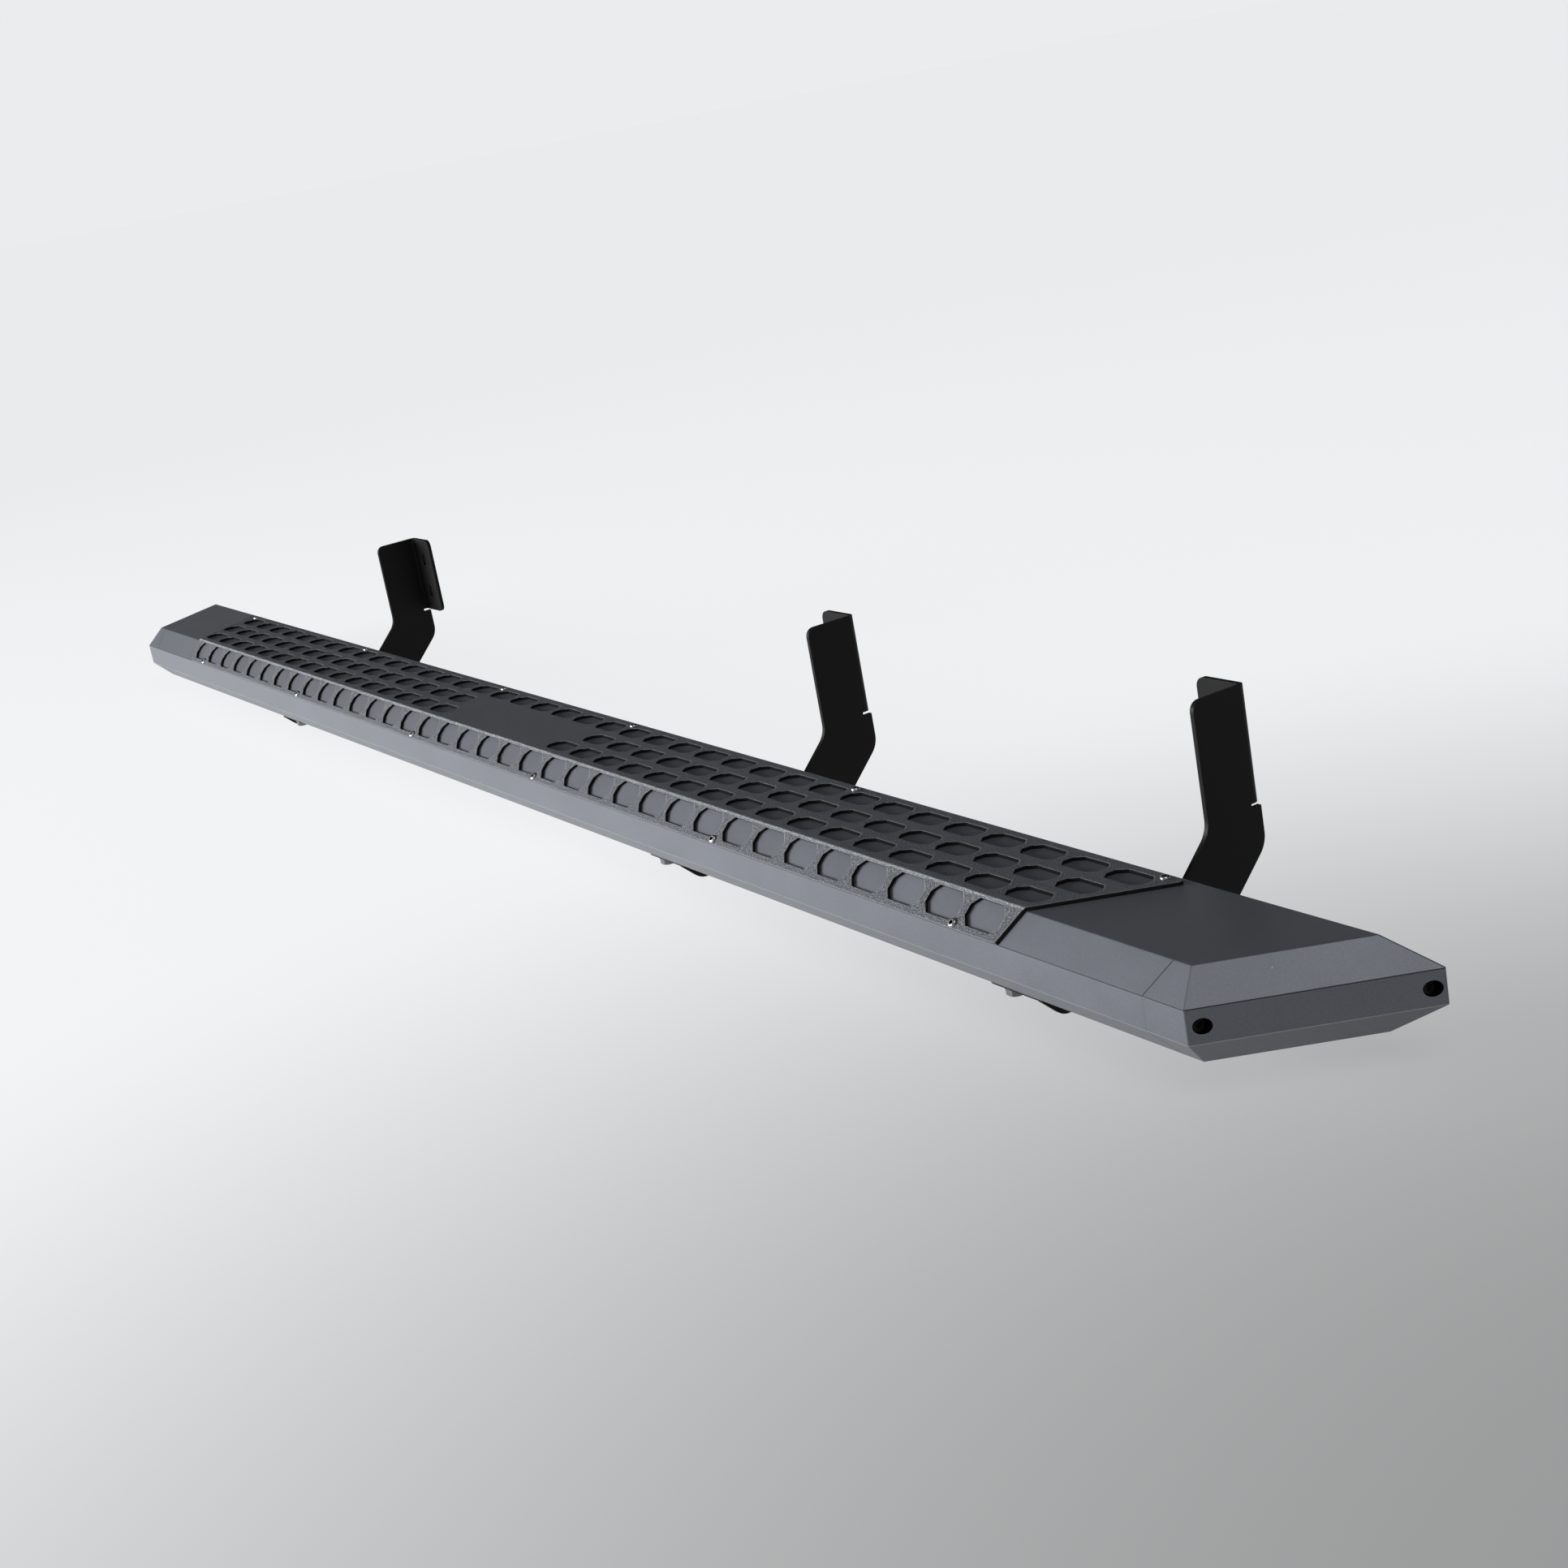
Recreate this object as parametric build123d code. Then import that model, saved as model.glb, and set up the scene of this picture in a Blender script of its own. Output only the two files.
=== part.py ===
from math import cos, radians, sin, tan
import os

from build123d import *

os.makedirs("parts", exist_ok=True)

# Frame, in mm: X runs along the bar towards its front end, Y runs from the outboard edge
# towards the vehicle, Z is up. The shapes are drawn with z = 0 on the flat top of the bar and
# saved with z = 0 on the top of the tread cover, so the origin is in the middle of the tread.

# bar section: an octagon, flat on top, with a slope, an upright face and a chamfer on each side
WIDTH = 139.7
OVERALL = 2311.4
SLOPE_RUN = 19.65
CHAMFER_RUN = 19.25
SHOULDER = 21.2
FACE = 24.5
HEIGHT = 66.5
WALL = 2.5
CORNER = 1.5

# two channels under the bar that hold the bracket bolts' nuts
CHANNEL_EDGE = 12.6
CHANNEL_MOUTH = 9.0
CHANNEL_LIP = 3.0
CHANNEL_WIDE = 14.5
CHANNEL_DEEP = 8.5

# end caps, cut off at a slant in plan
SLANT = 32.2
CAP_LAND = 16.7
CAP_WALL = 3.0
CAP_SCREW_EDGE = 8.85
COUNTERBORE = 10.6
COUNTERBORE_DEPTH = 9.0
POST = 15.2
PORT = 13.2
TONGUE = 3.0
TONGUE_LENGTH = 20.0
TONGUE_ROOT = 12.0
TONGUE_INSET = 8.0
TONGUE_FIT = 0.4

# tread cover
COVER = 3.0
COVER_EDGE = 5.4
COVER_INSET = 192.9
COVER_CORNER = 4.0

# cutouts in the cover: six-sided leaves in three rows on the flat and one on the slope
LEAF = ((-15.0, -11.0), (-21.0, -4.0), (-20.0, 4.8), (-13.0, 11.0))
LEAF_HEIGHT = 21.0
LEAF_HEIGHT_SLOPE = 22.6
PITCH = 48.6
FIRST_ROW = 17.2
ROW_PITCH = 30.0
SLOPE_ROW = 12.6
END_LEAF = 29.5
END_LEAF_BACK = 30.6
END_LEAF_SLOPE = 30.8
BARE_ZONE = 130.0

# cover screws and the inserts that they turn into
COVER_SCREW = 4.0
COVER_SCREW_LENGTH = 10.0
BUTTON = 7.6
BUTTON_HEIGHT = 2.2
BUTTON_KEY = 3.4
BUTTON_KEY_DEPTH = 1.3
INSERT = 7.0
INSERT_LENGTH = 9.6
SLOPE_SCREW_EDGE = 3.9
SLOPE_SCREW_SHIFT = -4.8
BACK_SCREW_EDGE = 5.9

# cap screws
CAP_SCREW = 6.0
CAP_SCREW_LENGTH = 50.0
CAP_SCREW_HEAD = 10.0
CAP_SCREW_HEAD_HEIGHT = 6.0
CAP_SCREW_KEY = 5.8

# brackets: folded plate, with a web across the bar, a foot flange and an upright flange
BRACKET = 4.0
FRONT_BRACKET = 227.7
BRACKET_SPACING = 513.5
REAR_BRACKET = 480.2
FOOT_DEPTH = 66.0
FOOT_FRONT_EDGE = 4.1
FOOT_BACK_EDGE = 2.6
FOOT_DROP = 19.5
TOE_RUN = 15.5
TOE_HEIGHT = 4.5
BAR_CLEARANCE = 1.2
ARM = 53.8
RISE_GAP = 50.15
RISE_WIDTH = 51.3
BRACKET_TOP = 100.0
UPRIGHT_BOTTOM = 10.0
UPRIGHT_DEPTH = 50.0
RELIEF = 3.0
RELIEF_DEPTH = 9.0
WEB_BEND = 22.0
TOE_BEND = 14.0
FLANGE_CORNER = 8.0
INNER_BEND = 2.0
BOLT_FROM_WEB = 43.0
FOOT_SLOT = 14.0
SLOT_WIDE = 9.0
VEHICLE_SLOT = 16.0
VEHICLE_SLOT_FROM_WEB = 27.0
VEHICLE_SLOT_HEIGHTS = (35.0, 75.0)

# bracket bolts
BRACKET_BOLT = 8.0
BRACKET_BOLT_LENGTH = 16.0
BRACKET_BOLT_HEAD = 15.0
BRACKET_BOLT_HEAD_HEIGHT = 5.3
WASHER = 16.0
WASHER_THICK = 1.6
CHANNEL_NUT_LENGTH = 20.0
CHANNEL_NUT_THICK = 5.0

CLEARANCE = 0.5
THREAD_GAP = 0.05
NUDGE = 0.05

half = WIDTH / 2
top_half = half - SLOPE_RUN
bottom_half = half - CHAMFER_RUN
lower_z = -(SHOULDER + FACE)
slope_length = (SLOPE_RUN ** 2 + SHOULDER ** 2) ** 0.5
channel_y = bottom_half - CHANNEL_EDGE

slant = radians(SLANT)
lean = tan(slant)
overrun = WIDTH * lean
end_x = (OVERALL - WIDTH * lean) / 2
seam_x = end_x - CAP_LAND - SLOPE_RUN / cos(slant)
cover_x = end_x - COVER_INSET
cap_screw_y = half - CAP_SCREW_EDGE
cap_screw_z = -(SHOULDER + FACE / 2)

LOW = (Align.CENTER, Align.CENTER, Align.MIN)
CENTRE = (Align.CENTER, Align.CENTER, Align.CENTER)
HIGH = (Align.CENTER, Align.CENTER, Align.MAX)


def outline(points):
    return make_face(Polyline(*points, close=True))


def section_points(offset=0.0):
    # The octagon moved inwards by the offset; the flats keep their directions.
    chamfer_drop = HEIGHT - SHOULDER - FACE
    chamfer_length = (CHAMFER_RUN ** 2 + chamfer_drop ** 2) ** 0.5
    top_shift = offset * (slope_length - SLOPE_RUN) / SHOULDER
    side_shift = offset * (slope_length - SHOULDER) / SLOPE_RUN
    low_shift = offset * (chamfer_length - CHAMFER_RUN) / chamfer_drop
    low_side = offset * (chamfer_length - chamfer_drop) / CHAMFER_RUN
    upper = -SHOULDER - side_shift
    lower = lower_z + low_side
    return [
        (top_half - top_shift, -offset),
        (half - offset, upper),
        (half - offset, lower),
        (bottom_half - low_shift, -HEIGHT + offset),
        (-bottom_half + low_shift, -HEIGHT + offset),
        (-half + offset, lower),
        (-half + offset, upper),
        (-top_half + top_shift, -offset),
    ]


def section_face(offset=0.0, corner=0.0):
    face = outline(section_points(offset))
    if corner > 0:
        face = fillet(face.vertices(), corner)
    return face


def along_bar(face, start, end):
    # A section drawn in (y, z) becomes a prism from x = start to x = end.
    plane = Plane(origin=(start, 0, 0), x_dir=(0, 1, 0), z_dir=(1, 0, 0))
    return extrude(plane * face, end - start)


def slanted_block(x):
    # Everything between two slanted planes that cross the centre line at x and -x.
    reach = WIDTH
    points = [
        (-x + lean * reach, -reach),
        (x - lean * reach, -reach),
        (x + lean * reach, reach),
        (-x - lean * reach, reach),
    ]
    return Pos(0, 0, -2 * HEIGHT) * extrude(outline(points), 4 * HEIGHT)


def slab(x0, x1, y0, y1, z0, z1):
    # A flat block whose ends follow the slant.
    points = [
        (x0 + lean * y0, y0),
        (x1 + lean * y0, y0),
        (x1 + lean * y1, y1),
        (x0 + lean * y1, y1),
    ]
    return Pos(0, 0, z0) * extrude(outline(points), z1 - z0)


def end_cutter(offset):
    # What lies beyond the bevelled end: half a section, drawn outwards, swept along the slant.
    pts = [(y - half, z) for y, z in section_points(offset)[:4]]
    rise = (pts[1][0] - pts[0][0]) / (pts[0][1] - pts[1][1])
    fall = (pts[2][0] - pts[3][0]) / (pts[2][1] - pts[3][1])
    face = outline(
        [
            (pts[0][0] - HEIGHT * rise, pts[0][1] + HEIGHT),
            pts[1],
            pts[2],
            (pts[3][0] - HEIGHT * fall, pts[3][1] - HEIGHT),
            (WIDTH, pts[3][1] - HEIGHT),
            (WIDTH, pts[0][1] + HEIGHT),
        ]
    )
    t = (sin(slant), cos(slant), 0)
    n = (cos(slant), -sin(slant), 0)
    start = (end_x - 2 * WIDTH * t[0], -2 * WIDTH * t[1], 0)
    plane = Plane(origin=start, x_dir=n, z_dir=(-t[0], -t[1], 0))
    return extrude(plane * face, -4 * WIDTH)


def prism(across, sides, height, align=CENTRE):
    # Small round pieces and their holes have flat sides, which keeps their face count low.
    shape = extrude(RegularPolygon(across / 2, sides), height)
    return Pos(0, 0, {LOW: 0.0, CENTRE: -height / 2, HIGH: -height}[align]) * shape


def save(shape, name):
    solids = [Pos(0, 0, -COVER) * s for s in shape.solids()]
    kept = solids[0] if len(solids) == 1 else Compound(children=solids)
    kept.label = name
    export_step(kept, "parts/" + name + ".step")
    total = sum(s.volume for s in solids)
    print(name, len(solids), "solids", round(total / 1000.0, 1), "cm3")


# end caps: cast, hollow, with two screw posts and two tongues that reach into the bar
def cap_outer():
    body = along_bar(section_face(), seam_x - overrun, end_x + overrun) - end_cutter(0)
    body = body - slab(-end_x, seam_x, -WIDTH, WIDTH, -2 * HEIGHT, HEIGHT)

    def on_seam(edge):
        ends = [edge.position_at(t) for t in (0, 1)]
        return all(abs(p.X - seam_x - lean * p.Y) < 0.5 for p in ends)

    return fillet([e for e in body.edges() if not on_seam(e)], CORNER)


def cap_solid():
    body = cap_outer()
    inside = along_bar(section_face(CAP_WALL), seam_x - overrun - 1, end_x + overrun)
    cap = body - (inside - end_cutter(CAP_WALL))
    for y in (-cap_screw_y, cap_screw_y):
        axis = Pos(seam_x + y * lean, y, cap_screw_z) * Rot(0, 90, 0)
        cap = cap + (axis * prism(POST, 12, 2 * WIDTH) & body)
    top = -(WALL + TONGUE_FIT)
    root_end = seam_x + TONGUE_ROOT
    for side in (-1, 1):
        y0, y1 = sorted((side * TONGUE_INSET, side * (top_half - TONGUE_INSET)))
        cap = cap + slab(seam_x, root_end, y0, y1, top - TONGUE, -CAP_WALL / 2)
        cap = cap + slab(seam_x - TONGUE_LENGTH, root_end, y0, y1, top - TONGUE, top)
    for y in (-cap_screw_y, cap_screw_y):
        axis = Pos(end_x + y * lean, y, cap_screw_z) * Rot(0, 90, 0)
        cap = cap - axis * prism(CAP_SCREW + CLEARANCE, 12, 2 * WIDTH)
        cap = cap - axis * Pos(0, 0, -COUNTERBORE_DEPTH) * Cylinder(COUNTERBORE / 2, WIDTH, align=LOW)
    return cap


front_cap = cap_solid()
save(front_cap, "front_end_cap")
save(mirror(front_cap, about=Plane.YZ), "rear_end_cap")


def cap_screw_solid(y):
    seat = Pos(end_x + y * lean - COUNTERBORE_DEPTH, y, cap_screw_z) * Rot(0, 90, 0)
    head = seat * prism(CAP_SCREW_HEAD, 16, CAP_SCREW_HEAD_HEIGHT, LOW)
    shank = seat * prism(CAP_SCREW, 12, CAP_SCREW_LENGTH, HIGH)
    key = prism(CAP_SCREW_KEY, 6, CAP_SCREW_HEAD_HEIGHT, LOW)
    return head + shank - seat * Pos(0, 0, CAP_SCREW_HEAD_HEIGHT / 2) * key


cap_screws = [cap_screw_solid(y) for y in (-cap_screw_y, cap_screw_y)]
save(Compound(children=cap_screws), "front_cap_screws")
save(Compound(children=[mirror(s, about=Plane.YZ) for s in cap_screws]), "rear_cap_screws")


# where the leaves and the cover screws go
def half_length(y):
    return cover_x + lean * y


def leaf_centres(first, last):
    # From the front end backwards, one pitch apart, no further back than the last.
    count = int((first - last) / PITCH) + 1
    return [first - k * PITCH for k in range(count)]


def screw_spots(centres, first_gap, step, shift):
    # Screws stand in the gaps between leaves, counted from each end towards the middle.
    count = len(centres)
    gaps = list(range(first_gap, count // 2 - 1, step))
    gaps += [count - 2 - gap for gap in gaps]
    return [centres[0] - (gap + 0.5) * PITCH + shift for gap in gaps]


down = (-SLOPE_RUN / slope_length, -SHOULDER / slope_length)
out = (-SHOULDER / slope_length, SLOPE_RUN / slope_length)
cover_back = top_half - COVER_EDGE

slope_y = -top_half + down[0] * SLOPE_ROW
slope_centres = leaf_centres(half_length(slope_y) - END_LEAF_SLOPE, -half_length(slope_y) + END_LEAF)

row_room = cover_back + top_half - FIRST_ROW - LEAF_HEIGHT / 2 - BACK_SCREW_EDGE / 2
row_ys = [-top_half + FIRST_ROW + n * ROW_PITCH for n in range(int(row_room / ROW_PITCH) + 1)]
rows = []
for y in row_ys[:-1]:
    one_side = leaf_centres(half_length(y) - END_LEAF, BARE_ZONE)
    rows.append(one_side + [-x for x in one_side])
back_y = row_ys[-1]
back_centres = leaf_centres(half_length(back_y) - END_LEAF_BACK, -half_length(back_y) + END_LEAF)
rows.append(back_centres)


def slope_plane(x, along, lift=0.0):
    # Local Z points out of the slope, local X runs along the bar, local Y up the slope.
    y = -top_half + down[0] * along + out[0] * lift
    z = down[1] * along + out[1] * lift
    return Plane(origin=(x, y, z), x_dir=(1, 0, 0), z_dir=(0, out[0], out[1]))


slope_spots = screw_spots(slope_centres, 0, 7, SLOPE_SCREW_SHIFT)
back_spots = screw_spots(back_centres, -1, 8, 0.0)
front_places = [slope_plane(x, slope_length - SLOPE_SCREW_EDGE) for x in slope_spots]
back_places = [Plane(origin=(x, cover_back - BACK_SCREW_EDGE, 0)) for x in back_spots]


# bar extrusion: thin walls, a centre rib, two nut channels below and two screw ports
def bar_section():
    shell = section_face(0, CORNER) - section_face(WALL)
    channel_top = CHANNEL_LIP + CHANNEL_DEEP
    for y in (-channel_y, channel_y):
        lip = Pos(y, -HEIGHT) * Rectangle(CHANNEL_WIDE + 3 * WALL, CHANNEL_LIP, align=(Align.CENTER, Align.MIN))
        box_height = channel_top + WALL - CORNER
        box = Rectangle(CHANNEL_WIDE + 2 * WALL, box_height, align=(Align.CENTER, Align.MIN))
        room = Rectangle(CHANNEL_WIDE, CHANNEL_DEEP, align=(Align.CENTER, Align.MIN))
        shell = shell + lip + Pos(y, -HEIGHT + CORNER) * box
        shell = shell - Pos(y, -HEIGHT + CHANNEL_LIP) * room
        shell = shell - Pos(y, -HEIGHT) * Rectangle(CHANNEL_MOUTH, 2 * CHANNEL_LIP + CORNER)
    shell = shell + Pos(0, -HEIGHT / 2) * Rectangle(WALL, HEIGHT - WALL)
    for y in (-cap_screw_y, cap_screw_y):
        shell = shell + Pos(y, cap_screw_z) * RegularPolygon(PORT / 2, 12)
        shell = shell - Pos(y, cap_screw_z) * RegularPolygon(CAP_SCREW / 2 + 2 * THREAD_GAP, 12)
    return shell


bar = along_bar(bar_section(), -end_x - overrun, end_x + overrun) & slanted_block(seam_x)
holes = []
for place in front_places + back_places:
    holes.append(place * prism(INSERT + 4 * THREAD_GAP, 6, 2 * INSERT_LENGTH))
save(bar - holes, "bar_extrusion")


# tread cover: one plate bent once over the front fold
def cover_profile():
    shift = COVER * (slope_length - SLOPE_RUN) / SHOULDER
    low = (-top_half - SLOPE_RUN, -SHOULDER)
    tip = (low[0] + out[0] * COVER, low[1] + out[1] * COVER)
    fold = (-top_half - shift, COVER)
    face = outline([(cover_back, 0), (-top_half, 0), low, tip, fold, (cover_back, COVER)])

    def at(y, z):
        return [v for v in face.vertices() if abs(v.X - y) < NUDGE and abs(v.Y - z) < NUDGE]

    face = fillet(at(-top_half, 0), CORNER)
    return fillet(at(*fold), CORNER + COVER)


def leaf(height):
    # Half of the outline is given; the other half is the same turned by half a turn.
    stretch = height / (2 * LEAF[-1][1])
    points = list(LEAF) + [(-x, -y) for x, y in LEAF]
    return extrude(outline([(x, y * stretch) for x, y in points]), 3 * COVER)


cover = along_bar(cover_profile(), -end_x, end_x) & slanted_block(cover_x)
corners = [
    e
    for e in cover.edges().filter_by(Axis.Z)
    if abs(e.center().Y - cover_back) < CLEARANCE and abs(e.center().Z - COVER / 2) < CLEARANCE
]
cover = fillet(corners, COVER_CORNER)

cuts = []
flat_leaf = leaf(LEAF_HEIGHT)
for y, centres in zip(row_ys, rows):
    for x in centres:
        cuts.append(Pos(x, y, -COVER) * flat_leaf)
slope_leaf = leaf(LEAF_HEIGHT_SLOPE)
for x in slope_centres:
    cuts.append(slope_plane(x, SLOPE_ROW, -COVER) * slope_leaf)
for place in front_places + back_places:
    cuts.append(place * prism(COVER_SCREW + CLEARANCE, 8, 4 * COVER))
save(cover - cuts, "tread_cover")


# cover screws and inserts
def button_screw():
    rim = prism(BUTTON, 12, 0.4 * BUTTON_HEIGHT, LOW)
    crown = loft(
        [
            Pos(0, 0, 0.4 * BUTTON_HEIGHT) * RegularPolygon(BUTTON / 2, 12),
            Pos(0, 0, BUTTON_HEIGHT) * RegularPolygon(0.3 * BUTTON, 12),
        ]
    )
    key = prism(BUTTON_KEY, 6, BUTTON_HEIGHT, LOW)
    head = rim + crown - Pos(0, 0, BUTTON_HEIGHT - BUTTON_KEY_DEPTH) * key
    return Pos(0, 0, COVER) * (head + prism(COVER_SCREW, 8, COVER_SCREW_LENGTH, HIGH))


def insert_nut():
    # A flush insert with a six-sided body, set in a punched hole of the same shape.
    return prism(INSERT, 6, INSERT_LENGTH, HIGH) - prism(COVER_SCREW + 4 * THREAD_GAP, 8, 3 * INSERT_LENGTH)


screw = button_screw()
insert = insert_nut()
save(Compound(children=[place * screw for place in front_places]), "cover_screws_outboard")
save(Compound(children=[place * screw for place in back_places]), "cover_screws_inboard")
save(Compound(children=[place * insert for place in front_places]), "insert_nuts_outboard")
save(Compound(children=[place * insert for place in back_places]), "insert_nuts_inboard")

# bracket outline, in (y, z): it runs under the bar, up at 45 degrees past it, then upright
foot_front = -bottom_half + FOOT_FRONT_EDGE
foot_back = bottom_half - FOOT_BACK_EDGE
foot_z = -HEIGHT - FOOT_DROP
rise_out = half + RISE_GAP
rise_in = rise_out + RISE_WIDTH
near_line = bottom_half + HEIGHT + BAR_CLEARANCE
far_line = near_line + ARM * 2 ** 0.5


def bracket_web():
    toe = (foot_front + TOE_RUN, foot_z)
    heel = (far_line + foot_z, foot_z)
    low_bend = (rise_in, rise_in - far_line)
    high_bend = (rise_out, rise_out - near_line)
    tip = (rise_out, BRACKET_TOP)
    face = outline(
        [
            (foot_front, -HEIGHT),
            (foot_back, -HEIGHT),
            (foot_back, -HEIGHT - RELIEF_DEPTH),
            (foot_back + RELIEF, -HEIGHT - RELIEF_DEPTH),
            (foot_back + RELIEF, foot_back + RELIEF - near_line),
            high_bend,
            tip,
            (rise_in, BRACKET_TOP),
            (rise_in, UPRIGHT_BOTTOM),
            (rise_in - RELIEF_DEPTH, UPRIGHT_BOTTOM),
            (rise_in - RELIEF_DEPTH, UPRIGHT_BOTTOM - RELIEF),
            (rise_in, UPRIGHT_BOTTOM - RELIEF),
            low_bend,
            heel,
            toe,
            (foot_front, -HEIGHT - TOE_HEIGHT),
        ]
    )

    def at(*spots):
        return [
            v
            for v in face.vertices()
            if any(abs(v.X - y) < NUDGE and abs(v.Y - z) < NUDGE for y, z in spots)
        ]

    face = fillet(at(high_bend, low_bend, heel), WEB_BEND)
    face = fillet(at(toe), TOE_BEND)
    return fillet(at(tip), FLANGE_CORNER)


def edges_at(solid, axis, longer=0.0, **place):
    # The straight edges along an axis whose middle is at the given x, y or z.
    found = []
    for edge in solid.edges().filter_by(axis):
        centre = edge.center()
        middle = {"x": centre.X, "y": centre.Y, "z": centre.Z}
        if edge.length > longer and all(abs(middle[k] - v) < NUDGE for k, v in place.items()):
            found.append(edge)
    return found


def foot_slot():
    # Its ends have flat sides, as the washers that cover it do.
    reach = (FOOT_SLOT - SLOT_WIDE) / 2
    end = RegularPolygon(SLOT_WIDE / 2, 8, major_radius=False, rotation=22.5)
    shape = Rectangle(SLOT_WIDE, 2 * reach) + Pos(0, reach) * end + Pos(0, -reach) * end
    return extrude(shape, 6 * BRACKET)


def vehicle_slot():
    return Rot(90, 0, 0) * Rot(0, 0, 90) * extrude(SlotOverall(VEHICLE_SLOT, SLOT_WIDE), 6 * BRACKET)


def bracket_solid():
    # Drawn with the web between x = -BRACKET and 0 and both flanges towards -X.
    web = along_bar(bracket_web(), -BRACKET, 0)
    foot = Box(FOOT_DEPTH, foot_back - foot_front, BRACKET, align=(Align.MAX, Align.MIN, Align.MAX))
    upright = Box(
        UPRIGHT_DEPTH, BRACKET, BRACKET_TOP - UPRIGHT_BOTTOM, align=(Align.MAX, Align.MAX, Align.MIN)
    )
    solid = web + Pos(0, foot_front, -HEIGHT) * foot + Pos(0, rise_in, UPRIGHT_BOTTOM) * upright
    outer_bend = INNER_BEND + BRACKET
    long_edge = 2 * RISE_WIDTH / 3 + WEB_BEND
    solid = fillet(edges_at(solid, Axis.Y, long_edge, x=0, z=-HEIGHT), outer_bend)
    solid = fillet(edges_at(solid, Axis.Y, long_edge, x=-BRACKET, z=-HEIGHT - BRACKET), INNER_BEND)
    solid = fillet(edges_at(solid, Axis.Z, long_edge, x=0, y=rise_in), outer_bend)
    solid = fillet(edges_at(solid, Axis.Z, long_edge, x=-BRACKET, y=rise_in - BRACKET), INNER_BEND)
    free = edges_at(solid, Axis.Z, x=-FOOT_DEPTH, z=-HEIGHT - BRACKET / 2)
    free += edges_at(solid, Axis.Y, x=-UPRIGHT_DEPTH, y=rise_in - BRACKET / 2)
    solid = fillet(free, FLANGE_CORNER)
    for y in (-channel_y, channel_y):
        solid = solid - Pos(-BOLT_FROM_WEB, y, -HEIGHT - 4 * BRACKET) * foot_slot()
    for z in VEHICLE_SLOT_HEIGHTS:
        solid = solid - Pos(-VEHICLE_SLOT_FROM_WEB, rise_in + 2 * BRACKET, z) * vehicle_slot()
    return solid


def bracket_bolt():
    head = prism(BRACKET_BOLT_HEAD, 6, BRACKET_BOLT_HEAD_HEIGHT, HIGH)
    shank = prism(BRACKET_BOLT, 12, BRACKET_BOLT_LENGTH, LOW)
    return head + shank


def washer():
    hole = prism(BRACKET_BOLT + CLEARANCE, 12, 3 * WASHER_THICK)
    return prism(WASHER, 16, WASHER_THICK, HIGH) - hole


def channel_nut():
    plate = Box(CHANNEL_NUT_LENGTH, CHANNEL_WIDE - CLEARANCE, CHANNEL_NUT_THICK, align=LOW)
    return plate - prism(BRACKET_BOLT + 4 * THREAD_GAP, 12, 3 * CHANNEL_NUT_THICK)


left_hand = bracket_solid()
right_hand = mirror(left_hand, about=Plane.YZ)
front_x = end_x - FRONT_BRACKET
middle_x = front_x - BRACKET_SPACING
rear_x = -end_x + REAR_BRACKET - BRACKET
stations = (
    ("front", front_x, left_hand, -1),
    ("middle", middle_x, left_hand, -1),
    ("rear", rear_x, right_hand, 1),
)
under = -HEIGHT - BRACKET
for name, x, solid, side in stations:
    save(Pos(x, 0, 0) * solid, "bracket_" + name)
    bolt_x = x + side * BOLT_FROM_WEB
    spots = [(bolt_x, -channel_y), (bolt_x, channel_y)]
    washers = [Pos(bx, by, under) * washer() for bx, by in spots]
    bolts = [Pos(bx, by, under - WASHER_THICK) * bracket_bolt() for bx, by in spots]
    nuts = [Pos(bx, by, -HEIGHT + CHANNEL_LIP) * channel_nut() for bx, by in spots]
    save(Compound(children=washers), "bolt_washers_" + name)
    save(Compound(children=bolts), "bracket_bolts_" + name)
    save(Compound(children=nuts), "slot_nuts_" + name)
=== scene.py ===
# %% [markdown]
# A side step bar, dressed for a photograph.
# The bar, its end caps, the folded tread cover and the three brackets come in as a fixed frame,
# already at their real size. What is left to do here is their finish, the small fasteners and the
# light. The frame is loaded first, because every place below is read from it. Its size is kept, so
# that it can be set against the size of the dressed part at the end.

from math import cos, pi, radians, sin, tan

import bmesh
import bpy
from mathutils import Matrix, Quaternion, Vector


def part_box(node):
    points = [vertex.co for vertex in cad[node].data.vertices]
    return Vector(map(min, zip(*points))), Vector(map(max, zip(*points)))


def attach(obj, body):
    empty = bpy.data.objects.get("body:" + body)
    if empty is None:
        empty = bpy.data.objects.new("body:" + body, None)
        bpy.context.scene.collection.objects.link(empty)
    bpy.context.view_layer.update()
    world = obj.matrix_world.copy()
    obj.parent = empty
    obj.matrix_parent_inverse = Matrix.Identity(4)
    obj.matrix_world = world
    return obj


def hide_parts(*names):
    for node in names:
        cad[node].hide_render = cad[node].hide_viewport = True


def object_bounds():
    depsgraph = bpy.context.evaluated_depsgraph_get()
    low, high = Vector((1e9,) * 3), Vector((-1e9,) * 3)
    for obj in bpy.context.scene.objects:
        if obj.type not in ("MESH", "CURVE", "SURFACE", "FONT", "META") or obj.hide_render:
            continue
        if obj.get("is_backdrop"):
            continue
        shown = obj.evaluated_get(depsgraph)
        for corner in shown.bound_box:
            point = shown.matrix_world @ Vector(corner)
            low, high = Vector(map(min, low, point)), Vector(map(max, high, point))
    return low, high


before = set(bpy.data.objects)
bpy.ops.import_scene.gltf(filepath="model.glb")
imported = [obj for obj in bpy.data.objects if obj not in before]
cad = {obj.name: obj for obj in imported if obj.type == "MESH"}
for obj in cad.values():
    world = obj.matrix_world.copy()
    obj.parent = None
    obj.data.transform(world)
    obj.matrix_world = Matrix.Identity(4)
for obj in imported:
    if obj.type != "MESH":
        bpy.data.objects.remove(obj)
size_before = [list(corner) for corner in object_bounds()]
MM = 0.001


def in_mm(lengths):
    return [round(length / MM, 1) for length in lengths]


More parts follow.
